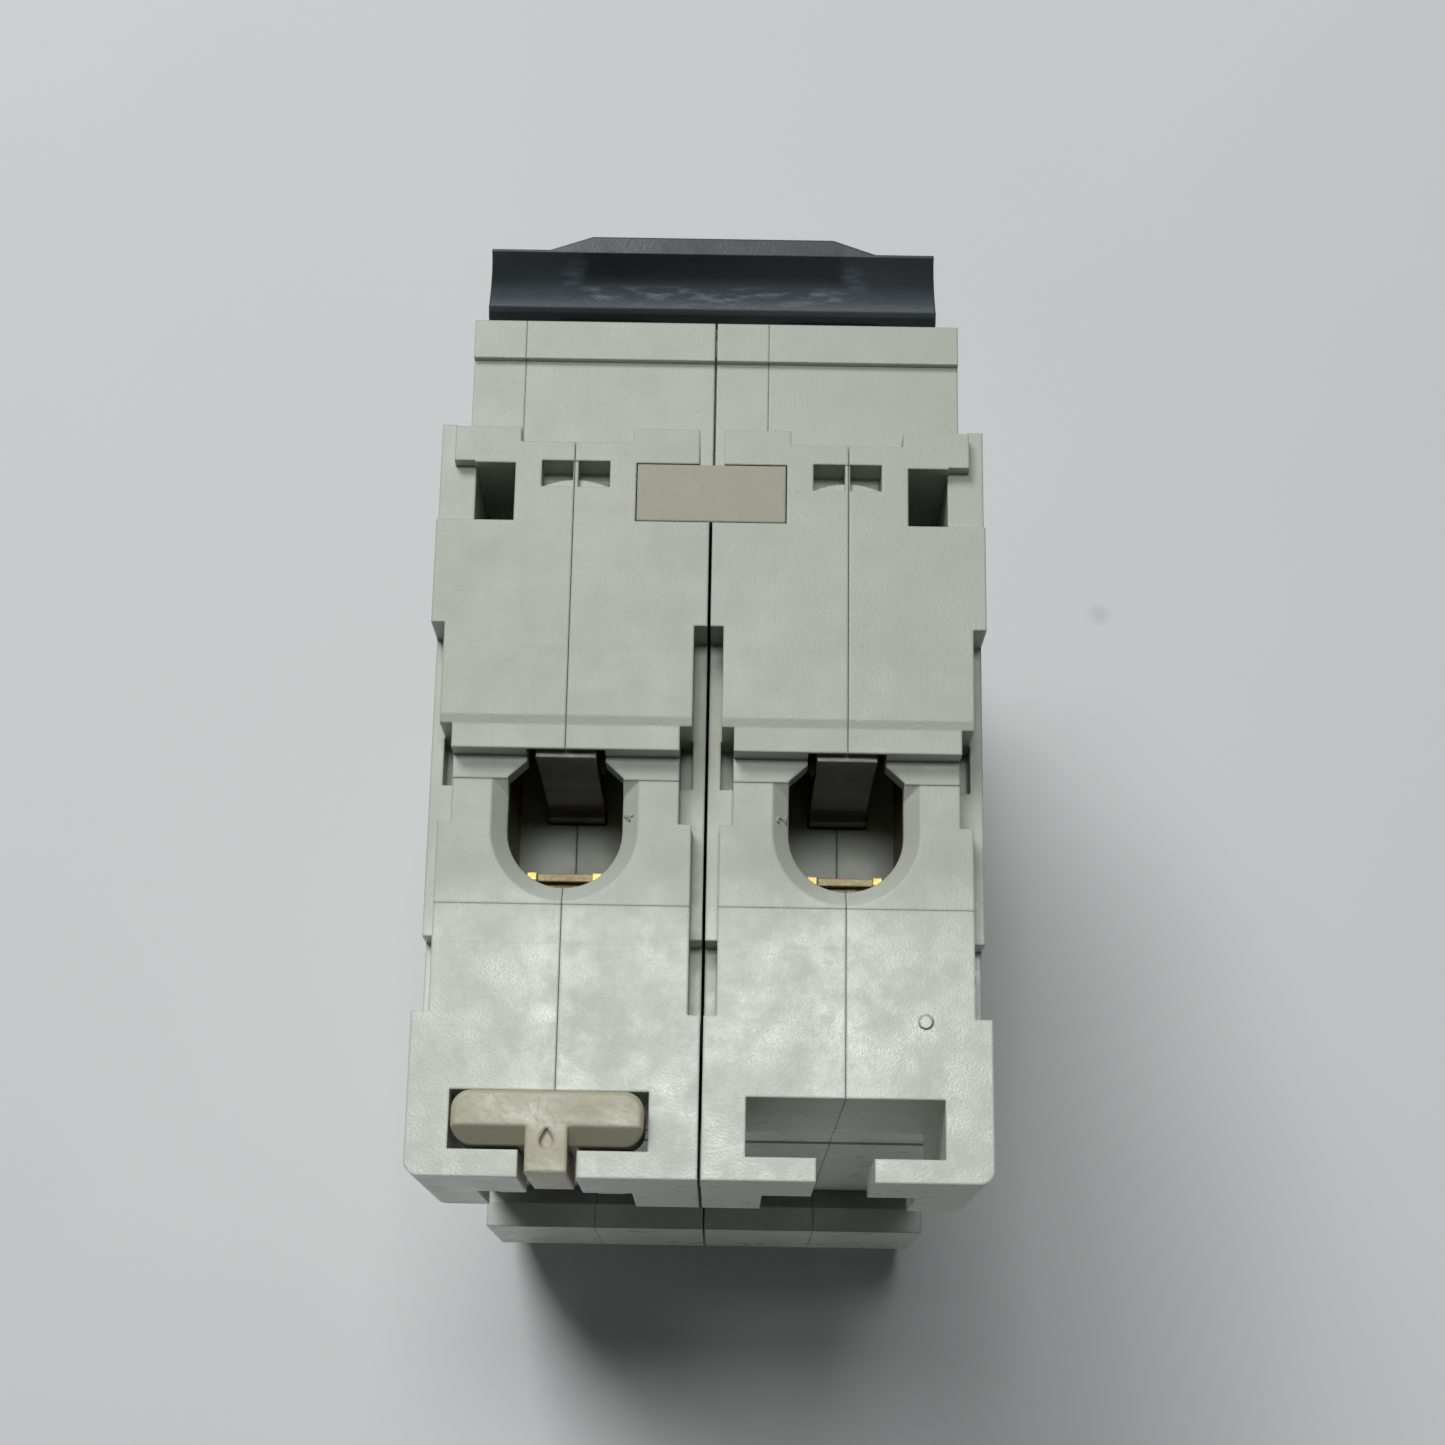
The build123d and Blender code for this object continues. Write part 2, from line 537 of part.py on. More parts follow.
# ---- residual-current unit of module B ----------------------------------------------
def build_residual_unit():
    """Summation transformer, relay and test circuit."""
    hub = (-CENTRE, -13.5, -10.5)
    with BuildPart() as core:
        rod(hub, 9.0, 7.0)
        rod(hub, 5.6, 8.0, "X", Mode.SUBTRACT)
        fillet(core.edges().filter_by(GeomType.CIRCLE), 0.6)
    save(core, "summation_core")
    with BuildPart() as turns:
        for turn in range(14):
            angle = 2 * pi * turn / 14
            place = Location((-CENTRE, -13.5 + 7.3 * cos(angle), -10.5 + 7.3 * sin(angle)),
                             (degrees(angle), 0, 0))
            with Locations(place):
                Box(8.4, 4.6, 0.8)
                Box(7.1, 3.6, 1.0, mode=Mode.SUBTRACT)
    save(turns, "secondary_winding")
    with BuildPart() as conductor:
        rod(hub, 2.2, 13.0)
    save(conductor, "primary_conductor")
    with BuildPart() as relay:
        block((-14.6, -5.4), (-15.5, -3.5), (4.0, 19.0))
        chamfer(relay.edges().filter_by(Axis.X), 0.6)
    save(relay, "trip_relay")
    with BuildPart() as board:
        block((-3.6, -2.4), (-40.0 + 1.0, -26.5), (-20.0, -8.5))
    save(board, "circuit_board")
    with BuildPart() as resistor:
        rod((-4.9, -33.0, -14.0), 1.2, 7.0, "Z")
        fillet(resistor.edges().filter_by(GeomType.CIRCLE), 0.5)
    save(resistor, "test_resistor")


# ---- front of the nose --------------------------------------------------------------
def build_front_fittings():
    """Status window and flag, test button and contact strip, blank label plates."""
    with BuildPart() as window:
        block((CENTRE - 3.3, CENTRE + 3.3), (NOSE_FRONT + 0.1, NOSE_FRONT + 1.0), (15.6, 20.4))
    save(window, "status_window")
    with BuildPart() as flag:
        block((CENTRE - 2.9, CENTRE + 2.9), (-57.0, -56.4), (15.8, 17.9))
        block((CENTRE - 2.9, CENTRE - 1.4), (-56.4, -53.6), (15.8, 17.2))
    save(flag, "status_flag")
    with BuildPart() as button:
        block((-CENTRE - 3.05, -CENTRE + 3.05), (NOSE_FRONT - 1.5, -55.2), (-20.15, -15.85))
        fillet(button.faces().sort_by(Axis.Y)[0].edges(), 0.5)
    save(button, "test_button")
    with BuildPart() as strip:
        block((-CENTRE - 2.6, -CENTRE + 2.6), (-52.9, -52.6), (-19.6, -16.4))
        block((-CENTRE - 0.6, -CENTRE + 0.6), (-53.5, -52.9), (-18.6, -17.4))
    save(strip, "test_contact")
    for letter, side in MODULES.items():
        with BuildPart() as label:
            block((side * CENTRE - 6.8, side * CENTRE + 6.8), (NOSE_FRONT - 0.25, NOSE_FRONT),
                  (-side * 9.6, -side * 20.6))
        save(label, f"label_plate_{letter}")


# ---- rail latch ---------------------------------------------------------------------
def build_rail_latch():
    """T-headed slider that locks the module on the rail."""
    middle = CENTRE + SLOT_SHIFTS["a"][0]
    with BuildPart() as latch:
        with BuildSketch(Plane.XY.offset(35.2)) as head:
            with Locations((middle, 1.5)):
                RectangleRounded(11.64, 3.2, 1.2)
        extrude(to_extrude=head.sketch, amount=LATCH_TOP - 35.2)
        fillet(latch.faces().sort_by(Axis.Z)[-1].edges(), 0.3)
        with BuildSketch(Plane.YZ.offset(middle - 6.5)) as slope:
            with BuildLine():
                Polyline((1.95, LATCH_TOP + 0.1), (4.0, LATCH_TOP + 0.1), (4.0, LATCH_TOP - 2.0),
                         (3.15, LATCH_TOP - 1.2), close=True)
            make_face()
        extrude(to_extrude=slope.sketch, amount=13.0, mode=Mode.SUBTRACT)
        block((middle - 1.27, middle + 1.27), (1.2, 4.85), (30.0, LATCH_TOP))
        block((middle - 4.3, middle + 4.3), (1.25, 3.05), (17.6, 35.3))
        for flank in (1, -1):
            block((middle + flank * 2.4, middle + flank * 4.2), (3.05, 4.3), (22.0, 26.2))
        with BuildSketch(Plane.YZ.offset(middle - 4.3)) as tongue:
            with BuildLine():
                Polyline((1.25, 17.6), (1.25, 16.2), (1.75, 15.6), (3.05, 17.2), (3.05, 17.6), close=True)
            make_face()
        extrude(to_extrude=tongue.sketch, amount=8.6)
        with BuildSketch(Plane.XY.offset(LATCH_TOP)) as dimple:
            with Locations((middle, 2.95)):
                Circle(0.42)
            with Locations((middle, 2.25)):
                Circle(0.08)
            make_hull()
        extrude(to_extrude=dimple.sketch, amount=-0.3, mode=Mode.SUBTRACT)
    save(latch, "rail_latch")


build_housing()
build_pole_clips()
toggle_bar = build_toggle_bar()
for module_letter, module_side in MODULES.items():
    build_rivets(module_letter, module_side)
    build_toggle_lever(module_letter, module_side, toggle_bar)
    build_pins(module_letter, module_side)
    build_contact_arm(module_letter, module_side)
    build_fixed_contact(module_letter, module_side)
    for terminal_end, end_side in ENDS.items():
        build_terminal(module_letter, module_side, terminal_end, end_side)
build_arc_chute()
build_magnetic_trip()
build_thermal_trip()
build_residual_unit()
build_front_fittings()
build_rail_latch()
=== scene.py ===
import json
import math

import bmesh
import bpy
import numpy as np
from mathutils import Matrix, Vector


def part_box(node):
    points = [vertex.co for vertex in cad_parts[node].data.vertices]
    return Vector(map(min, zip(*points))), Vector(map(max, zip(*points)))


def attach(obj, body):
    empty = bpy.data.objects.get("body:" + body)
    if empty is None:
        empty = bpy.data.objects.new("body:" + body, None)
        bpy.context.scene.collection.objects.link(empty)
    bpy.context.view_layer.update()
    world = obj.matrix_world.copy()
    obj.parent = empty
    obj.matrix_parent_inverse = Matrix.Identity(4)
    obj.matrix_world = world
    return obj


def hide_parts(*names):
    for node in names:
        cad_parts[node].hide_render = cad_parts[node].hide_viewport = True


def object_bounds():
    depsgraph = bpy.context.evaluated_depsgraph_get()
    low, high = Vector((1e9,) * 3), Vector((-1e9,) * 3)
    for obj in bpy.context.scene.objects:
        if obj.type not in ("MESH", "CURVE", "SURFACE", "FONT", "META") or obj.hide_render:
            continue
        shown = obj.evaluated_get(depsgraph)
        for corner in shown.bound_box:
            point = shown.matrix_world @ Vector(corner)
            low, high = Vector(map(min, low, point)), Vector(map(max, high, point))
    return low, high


# Two-pole residual-current circuit breaker, standing on its hook end.
# The frame: +Y towards the mounting rail, -Y the front, +Z the end with the rail latch.

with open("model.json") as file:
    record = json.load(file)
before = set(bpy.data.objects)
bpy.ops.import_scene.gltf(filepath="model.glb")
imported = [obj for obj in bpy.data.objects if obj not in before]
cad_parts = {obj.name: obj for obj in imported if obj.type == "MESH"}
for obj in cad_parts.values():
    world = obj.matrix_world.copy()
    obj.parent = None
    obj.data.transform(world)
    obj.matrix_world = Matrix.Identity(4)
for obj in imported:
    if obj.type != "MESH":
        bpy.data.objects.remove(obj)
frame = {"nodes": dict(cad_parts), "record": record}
cad_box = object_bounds()
nodes = frame["nodes"]

MM = 0.001
CENTRE = (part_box("housing_a_outer")[1][0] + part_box("housing_a_inner")[0][0]) / 2
FLOOR = cad_box[0][2]
SIDES = {"a": 1, "b": -1}


# ---- nodes and colours --------------------------------------------------------------
def linear(code):
    """Scene-linear RGBA of an sRGB hex colour."""
    parts = [int(code[place:place + 2], 16) / 255 for place in (1, 3, 5)]
    return [part / 12.92 if part <= 0.04045 else ((part + 0.055) / 1.055) ** 2.4
            for part in parts] + [1.0]


def add_node(tree, kind, sockets=None, **settings):
    """Adds a node; sockets take a value or another node's output."""
    new = tree.nodes.new("ShaderNode" + kind)
    for name, value in settings.items():
        setattr(new, name, value)
    for name, value in (sockets or {}).items():
        if isinstance(value, bpy.types.NodeSocket):
            tree.links.new(value, new.inputs[name])
        else:
            new.inputs[name].default_value = value
    return new


def per_mm(size):
    """Texture scale that makes one feature about this many millimetres wide."""
    return 1.0 / (size * MM)


def start_material(name):
    """Empty node material, with the place on the object as its coordinate."""
    material = bpy.data.materials.new(name)
    material.use_nodes = True
    tree = material.node_tree
    tree.nodes.clear()
    place = add_node(tree, "TexCoord").outputs["Object"]
    return material, tree, place


def finish_material(tree, shader_sockets, bump_height, bump_mm, edge_mm=0.25):
    """Principled shader with a fine bump over softened edges."""
    soft = add_node(tree, "Bevel", {"Radius": edge_mm * MM}, samples=6)
    bump = add_node(tree, "Bump", {"Strength": 1.0, "Distance": bump_mm * MM,
                                   "Height": bump_height, "Normal": soft.outputs[0]})
    shader = add_node(tree, "BsdfPrincipled", {**shader_sockets, "Normal": bump.outputs[0]})
    add_node(tree, "OutputMaterial", {"Surface": shader.outputs[0]})


def edge_mask(tree, radius_mm, low, high):
    """0 on flat faces, 1 along edges: how far the rounded normal turns from the true one."""
    round_normal = add_node(tree, "Bevel", {"Radius": radius_mm * MM}, samples=6).outputs[0]
    true_normal = add_node(tree, "NewGeometry").outputs["True Normal"]
    along = add_node(tree, "VectorMath", {0: round_normal, 1: true_normal}, operation="DOT_PRODUCT")
    return add_node(tree, "MapRange", {"Value": along.outputs["Value"], "From Min": high,
                                       "From Max": low, "To Min": 0.0, "To Max": 1.0}).outputs[0]


def within(tree, amount, *limits):
    """Mask that reaches amount where every limit is met.

    A limit is (value, middle, start, full): the value's distance from the middle fades in from start
    to full; with no middle the value itself does.
    """
    for value, middle, start, full in limits:
        if middle is not None:
            apart = add_node(tree, "Math", {0: value, 1: middle}, operation="SUBTRACT").outputs[0]
            value = add_node(tree, "Math", {0: apart}, operation="ABSOLUTE").outputs[0]
        fade = add_node(tree, "MapRange", {"Value": value, "From Min": start, "From Max": full},
                        interpolation_type="SMOOTHSTEP").outputs[0]
        amount = add_node(tree, "Math", {0: amount, 1: fade}, operation="MULTIPLY").outputs[0]
    return amount


def paint(tree, colour, over, amount, *limits):
    """Lays a hex colour over the colour so far, only within the limits."""
    return add_node(tree, "Mix", {0: within(tree, amount, *limits), 6: colour, 7: linear(over)},
                    data_type="RGBA").outputs[2]


def moulded(name, body, light, dark, roughness, grain_mm=0.18, bump_mm=0.012, wear=0.35,
            gloss_spread=0.12, edge_mm=0.22, marks=None):
    """Injection-moulded thermoplastic: clouded colour, eroded-steel grain, rubbed edges.

    marks adds what belongs to one piece only: it takes the tree, the place, the colour and the
    roughness so far, and returns the last two changed.
    """
    material, tree, place = start_material(name)
    cloud = add_node(tree, "TexNoise", {"Vector": place, "Scale": per_mm(9.0), "Detail": 4.0,
                                        "Roughness": 0.55})
    grain = add_node(tree, "TexNoise", {"Vector": place, "Scale": per_mm(grain_mm), "Detail": 3.0})
    speck = add_node(tree, "TexVoronoi", {"Vector": place, "Scale": per_mm(1.9)})
    speck_mask = add_node(tree, "MapRange", {"Value": speck.outputs["Distance"], "From Min": 0.09,
                                             "From Max": 0.05, "To Max": 0.5})
    tint = add_node(tree, "Mix", {0: cloud.outputs["Fac"], 6: linear(dark), 7: linear(light)},
                    data_type="RGBA")
    base = add_node(tree, "Mix", {0: 0.45, 6: linear(body), 7: tint.outputs[2]}, data_type="RGBA")
    dusty = add_node(tree, "Mix", {0: speck_mask.outputs[0], 6: base.outputs[2], 7: linear(dark)},
                     data_type="RGBA")
    rubbed = edge_mask(tree, 0.3, 0.9, 0.995)
    worn_amount = add_node(tree, "Math", {0: rubbed, 1: wear}, operation="MULTIPLY")
    worn = add_node(tree, "Mix", {0: worn_amount.outputs[0], 6: dusty.outputs[2], 7: linear(light)},
                    data_type="RGBA")
    colour = worn.outputs[2]
    patch = add_node(tree, "TexNoise", {"Vector": place, "Scale": per_mm(2.6), "Detail": 5.0,
                                        "Roughness": 0.6})
    rough = add_node(tree, "MapRange", {"Value": patch.outputs["Fac"], "From Min": 0.3, "From Max": 0.7,
                                        "To Min": roughness - gloss_spread,
                                        "To Max": roughness + gloss_spread}).outputs[0]
    if marks:
        colour, rough = marks(tree, place, colour, rough)
    waves = add_node(tree, "Math", {0: patch.outputs["Fac"], 1: 0.8}, operation="MULTIPLY")
    height = add_node(tree, "Math", {0: grain.outputs["Fac"], 1: waves.outputs[0]}, operation="ADD")
    finish_material(tree, {"Base Color": colour, "Roughness": rough, "IOR": 1.52},
                    height.outputs[0], bump_mm, edge_mm=edge_mm)
    return material


def metal(name, body, light, dark, roughness, grain_mm, stretch=(1.0, 1.0, 1.0), tarnish=0.4,
          marks=None):
    """Bare or plated metal: drawn or rolled grain, tarnish in clouds, painted highlights along the
    edges.

    marks adds what belongs to one piece only, as for a moulding.
    """
    material, tree, place = start_material(name)
    stretched = add_node(tree, "Mapping", {"Vector": place, "Scale": stretch})
    grain = add_node(tree, "TexNoise", {"Vector": stretched.outputs[0], "Scale": per_mm(grain_mm),
                                        "Detail": 5.0, "Roughness": 0.6})
    cloud = add_node(tree, "TexNoise", {"Vector": place, "Scale": per_mm(3.0), "Detail": 5.0,
                                        "Roughness": 0.6})
    cloud_mask = add_node(tree, "MapRange", {"Value": cloud.outputs["Fac"], "From Min": 0.42,
                                             "From Max": 0.68, "To Max": tarnish})
    base = add_node(tree, "Mix", {0: grain.outputs["Fac"], 6: linear(body), 7: linear(light)},
                    data_type="RGBA")
    dull = add_node(tree, "Mix", {0: cloud_mask.outputs[0], 6: base.outputs[2], 7: linear(dark)},
                    data_type="RGBA")
    # painted highlight: edges mixed towards the light colour
    edge_highlight = add_node(tree, "Mix", {0: edge_mask(tree, 0.2, 0.9, 0.99), 6: dull.outputs[2],
                                    7: linear(light)}, data_type="RGBA")
    rough = add_node(tree, "MapRange", {"Value": grain.outputs["Fac"], "From Min": 0.3,
                                        "From Max": 0.7, "To Min": roughness - 0.07,
                                        "To Max": roughness + 0.1}).outputs[0]
    colour = edge_highlight.outputs[2]
    if marks:
        colour, rough = marks(tree, place, colour, rough)
    finish_material(tree, {"Base Color": colour, "Metallic": 1.0, "Roughness": rough},
                    grain.outputs["Fac"], bump_mm=0.006, edge_mm=0.15)
    return material


# ---- finishes -----------------------------------------------------------------------
def housing_sheen_and_insert_lines(tree, place, colour, rough):
    """Polished rear with painted sheen: lighter all over, a painted glow beside the parting lines and
    painted highlight streaks; and lines of mould inserts.
    """
    apart = add_node(tree, "SeparateXYZ", {0: place})
    module_x = add_node(tree, "Math", {0: apart.outputs["X"]}, operation="ABSOLUTE").outputs[0]
    rear = (apart.outputs["Y"], None, -15.0 * MM, -9.0 * MM)
    sheen_mottle = add_node(tree, "TexNoise", {"Vector": place, "Scale": per_mm(2.2), "Detail": 6.0,
                                       "Roughness": 0.68}).outputs["Fac"]
    streak_place = add_node(tree, "Mapping", {"Vector": place, "Scale": (2.6, 0.7, 1.0),
                                              "Rotation": (0.0, 0.0, 0.5)}).outputs[0]
    streak = add_node(tree, "TexNoise", {"Vector": streak_place, "Scale": per_mm(0.9), "Detail": 6.0,
                                         "Roughness": 0.75}).outputs["Fac"]
    insert = add_node(tree, "TexBrick", {"Vector": place, "Scale": 1.0, "Mortar Size": 0.045 * MM,
                                         "Mortar Smooth": 0.3, "Brick Width": 13.4 * MM,
                                         "Row Height": 9.3 * MM}, offset=0.31).outputs["Fac"]
    # painted sheen: the rear lighter, a painted glow beside the parting lines, painted highlight
    # streaks
    colour = paint(tree, colour, "#D6DDD3", 0.45, rear)
    colour = paint(tree, colour, "#E2E9DF", 0.6, rear, (sheen_mottle, None, 0.3, 0.66),
                   (module_x, CENTRE, 3.6 * MM, 0.1 * MM))
    colour = paint(tree, colour, "#EEF3EC", 0.45, rear, (streak, None, 0.58, 0.74))
    colour = paint(tree, colour, "#8C928A", 0.12, (insert, None, 0.0, 1.0))
    gloss = within(tree, 0.14, rear, (sheen_mottle, None, 0.3, 0.6))
    return colour, add_node(tree, "Math", {0: rough, 1: gloss}, operation="SUBTRACT").outputs[0]


def housing_polyamide():
    """Light grey polyamide with glass fibre, semi-matt, painted sheen on the rear and faint handling
    dirt.
    """
    return moulded("polyamide_light_grey", "#AFB5A9", "#BEC4B9", "#A0A69B", roughness=0.44,
                   bump_mm=0.02, gloss_spread=0.08, wear=0.45, marks=housing_sheen_and_insert_lines)


def latch_acetal():
    """Beige acetal, glossy where the slider has been thumbed."""
    return moulded("acetal_beige", "#ABA88D", "#C0BDA5", "#949177", roughness=0.36, grain_mm=0.5,
                   bump_mm=0.035, gloss_spread=0.1, edge_mm=0.35, wear=0.3)


def clip_polyamide():
    """Beige polyamide plug, dead matt and slightly yellowed."""
    return moulded("polyamide_beige_matt", "#A7A594", "#B3B1A0", "#989584", roughness=0.62,
                   bump_mm=0.02, gloss_spread=0.05, wear=0.2)


def toggle_light_shade_and_scuffs(tree, place, colour, rough):
    """Painted shade in the middle of the thumb groove and low down by the neck, a painted highlight
    along the heel with pale scuffs on it, and pale rubbing beside the groove.
    """
    low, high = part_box("toggle_bar")
    middle = (low[0] + high[0]) / 2
    apart = add_node(tree, "SeparateXYZ", {0: place})
    across = apart.outputs["X"]
    rise = add_node(tree, "Math", {0: apart.outputs["Z"], 1: high[2] - 2.9 * MM},
                    operation="SUBTRACT").outputs[0]
    streak_place = add_node(tree, "Mapping", {"Vector": place, "Scale": (0.5, 2.4, 2.4)}).outputs[0]
    streak = add_node(tree, "TexNoise", {"Vector": streak_place, "Scale": per_mm(1.0), "Detail": 5.0,
                                         "Roughness": 0.6}).outputs["Fac"]
    aside = add_node(tree, "Math", {0: across, 1: middle}, operation="SUBTRACT").outputs[0]
    wide = add_node(tree, "Math", {0: aside}, operation="ABSOLUTE").outputs[0]
    lean = add_node(tree, "Math", {0: rise, 1: 0.55, 2: wide}, operation="MULTIPLY_ADD").outputs[0]
    # painted shade: the middle of the thumb groove painted dark navy
    colour = paint(tree, colour, "#1A222D", 1.0, (across, middle, 10.4 * MM, 9.4 * MM),
                   (rise, None, 0.7 * MM, 1.3 * MM), (rise, None, 2.95 * MM, 2.85 * MM))
    # painted highlight: a lighter band along the heel
    colour = paint(tree, colour, "#4C545C", 0.7, (rise, 0.2 * MM, 0.8 * MM, 0.15 * MM))
    colour = paint(tree, colour, "#8B939C", 0.6, (rise, 0.4 * MM, 0.45 * MM, 0.05 * MM),
                   (across, middle, 12.5 * MM, 8.0 * MM), (streak, None, 0.45, 0.68))
    colour = paint(tree, colour, "#626B76", 0.6, (lean, 11.6 * MM, 1.3 * MM, 0.1 * MM),
                   (rise, None, 0.2 * MM, 0.8 * MM), (rise, None, 2.9 * MM, 1.2 * MM),
                   (streak, None, 0.34, 0.66))
    # painted shade: the low part by the neck painted near black
    colour = paint(tree, colour, "#14181B", 0.85, (rise, None, -0.35 * MM, -0.5 * MM),
                   (apart.outputs["Y"], None, -66.0 * MM, -65.6 * MM))
    return colour, rough


def toggle_polycarbonate():
    """Blue-black polycarbonate, satin, with painted shade in the thumb groove and a painted highlight
    along the heel.
    """
    return moulded("polycarbonate_blue_black", "#2F373C", "#434B51", "#22292E", roughness=0.42,
                   grain_mm=0.25, bump_mm=0.015, wear=0.35, marks=toggle_light_shade_and_scuffs)


def black_phenolic():
    """Black phenolic moulding, slightly grainy."""
    return moulded("phenolic_black", "#17181A", "#2A2C2E", "#0D0E0F", roughness=0.5)


def button_polyamide():
    """Dark grey polyamide push button, satin."""
    return moulded("polyamide_dark_grey", "#3C444A", "#59636A", "#2B3237", roughness=0.4)


def flag_polyamide():
    """Green polyamide flag behind the window."""
    return moulded("polyamide_green", "#1F8A45", "#37A45E", "#166A34", roughness=0.45)


def arc_fibre():
    """Pressed vulcanised fibre, brown with a felted surface."""
    return moulded("vulcanised_fibre", "#8E7455", "#A58A68", "#6D573E", roughness=0.75, grain_mm=0.3,
                   bump_mm=0.05)


def core_powder_coat():
    """Grey powder coat on the ring core, finely pebbled."""
    return moulded("powder_coat_grey", "#45484B", "#5A5E61", "#303336", roughness=0.5, grain_mm=0.4,
                   bump_mm=0.04)


def board_laminate():
    """Glass-epoxy laminate under green solder mask."""
    return moulded("epoxy_laminate_green", "#14532D", "#1E6B3C", "#0D3A1F", roughness=0.3)


def zinc_plate():
    """Bright zinc plate on pressed steel, with a drawn grain and dull patches."""
    return metal("zinc_plated_steel", "#B4B7BA", "#D8DADC", "#7C8084", roughness=0.34, grain_mm=0.2,
                 stretch=(1.0, 1.0, 0.25))


def tip_highlight(tree, place, colour, rough):
    """Painted highlight: the raised tips at the mouths are painted a bright brassy yellow."""
    apart = add_node(tree, "SeparateXYZ", {0: place})
    # painted highlight on the raised tips
    colour = paint(tree, colour, "#E3C777", 0.9, (apart.outputs["Z"], 0.0, 36.0 * MM, 36.05 * MM))
    return colour, rough


def yellow_chromate():
    """Yellow-passivated steel gone dull: olive grey with reddish patches, with a painted brassy
    highlight at the tips.
    """
    return metal("yellow_passivated_steel", "#77735F", "#8F8866", "#6A4A38", roughness=0.5,
                 grain_mm=0.25, tarnish=0.6, marks=tip_highlight)


def tin_plate():
    """Tin plate on copper bar, soft grey with rolling lines."""
    return metal("tinned_copper", "#8B8B88", "#A3A39F", "#5C5C59", roughness=0.55, grain_mm=0.15,
                 stretch=(0.2, 1.0, 1.0))


def bare_copper():
    """Bare copper, browned in patches."""
    return metal("bare_copper", "#B87350", "#DF9C76", "#6F4632", roughness=0.36, grain_mm=0.2,
                 tarnish=0.5)


def silver_alloy():
    """Silver-alloy contact button, satin."""
    return metal("silver_alloy", "#CFCECA", "#EBEAE6", "#8E8D89", roughness=0.3, grain_mm=0.15)


def clear_polycarbonate():
    """Clear polycarbonate window with fine wipe scratches."""
    material, tree, place = start_material("polycarbonate_clear")
    wipe = add_node(tree, "Mapping", {"Vector": place, "Scale": (0.2, 1.0, 1.0),
                                      "Rotation": (0.0, 0.5, 0.0)})
    scratch = add_node(tree, "TexNoise", {"Vector": wipe.outputs[0], "Scale": per_mm(0.12),
                                          "Detail": 4.0})
    rough = add_node(tree, "MapRange", {"Value": scratch.outputs["Fac"], "From Min": 0.4,
                                        "From Max": 0.8, "To Min": 0.06, "To Max": 0.3})
    haze = add_node(tree, "Mix", {0: scratch.outputs["Fac"], 6: linear("#F2F6F5"),
                                  7: linear("#DDE5E3")}, data_type="RGBA")
    finish_material(tree, {"Base Color": haze.outputs[2], "Roughness": rough.outputs[0], "IOR": 1.58,
                           "Transmission Weight": 0.9}, scratch.outputs["Fac"], 0.004)
    return material


def label_film():
    """White printed film: plain rules and a blank field, no words."""
    material, tree, place = start_material("label_film_white")
    apart = add_node(tree, "SeparateXYZ", {0: place})
    rows = add_node(tree, "Math", {0: apart.outputs["Z"], 1: 2.4 * MM}, operation="PINGPONG")
    rule = add_node(tree, "MapRange", {"Value": rows.outputs[0], "From Min": 0.16 * MM,
                                       "From Max": 0.1 * MM, "To Max": 0.8})
    fleck = add_node(tree, "TexNoise", {"Vector": place, "Scale": per_mm(0.5), "Detail": 5.0})
    paper = add_node(tree, "Mix", {0: fleck.outputs["Fac"], 6: linear("#E4E5E1"),
                                   7: linear("#D2D3CE")}, data_type="RGBA")
    printed = add_node(tree, "Mix", {0: rule.outputs[0], 6: paper.outputs[2], 7: linear("#4A4F54")},
                       data_type="RGBA")
    rough = add_node(tree, "MapRange", {"Value": fleck.outputs["Fac"], "To Min": 0.35, "To Max": 0.6})
    finish_material(tree, {"Base Color": printed.outputs[2], "Roughness": rough.outputs[0]},
                    fleck.outputs["Fac"], 0.006, edge_mm=0.05)
    return material


def printed_ink():
    """Dark grey pad-printed ink, slightly glossier than the moulding below it."""
    return moulded("ink_dark_grey", "#3A3F43", "#4A4F53", "#2C3033", roughness=0.35, bump_mm=0.006)


def worktop():
    """Smooth pale painted board with very faint specks."""
    material, tree, place = start_material("painted_board_pale")
    cloud = add_node(tree, "TexNoise", {"Vector": place, "Scale": per_mm(60.0), "Detail": 3.0})
    speck = add_node(tree, "TexVoronoi", {"Vector": place, "Scale": per_mm(45.0)})
    mark = add_node(tree, "MapRange", {"Value": speck.outputs["Distance"], "From Min": 0.03,
                                       "From Max": 0.01, "To Max": 0.25})
    board = add_node(tree, "Mix", {0: cloud.outputs["Fac"], 6: linear("#D6D7D8"),
                                   7: linear("#DEDFE0")}, data_type="RGBA")
    marked = add_node(tree, "Mix", {0: mark.outputs[0], 6: board.outputs[2], 7: linear("#9A9B9A")},
                      data_type="RGBA")
    shader = add_node(tree, "BsdfPrincipled", {"Base Color": marked.outputs[2], "Roughness": 0.6})
    add_node(tree, "OutputMaterial", {"Surface": shader.outputs[0]})
    return material


FINISHES = {
    "housing_grey": housing_polyamide(), "toggle_dark": toggle_polycarbonate(),
    "passivated_steel": yellow_chromate(), "zinc_steel": zinc_plate(),
    "tinned_copper": tin_plate(), "copper": bare_copper(), "silver_contact": silver_alloy(),
    "fibre": arc_fibre(), "black_plastic": black_phenolic(), "core_ferrite": core_powder_coat(),
    "board_green": board_laminate(), "clear_window": clear_polycarbonate(),
    "flag_green": flag_polyamide(), "button_plastic": button_polyamide(),
    "label_white": label_film(), "beige_plastic": clip_polyamide(),
}
INK = printed_ink()


def dress_frame():
    """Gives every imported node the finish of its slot; the latch is glossier than the clips."""
    latch = latch_acetal()
    for part in frame["record"]["subparts"]:
        finish = latch if part["node"] == "rail_latch" else FINISHES[part["material_slot"]]
        materials = nodes[part["node"]].data.materials
        materials.clear()
        materials.append(finish)


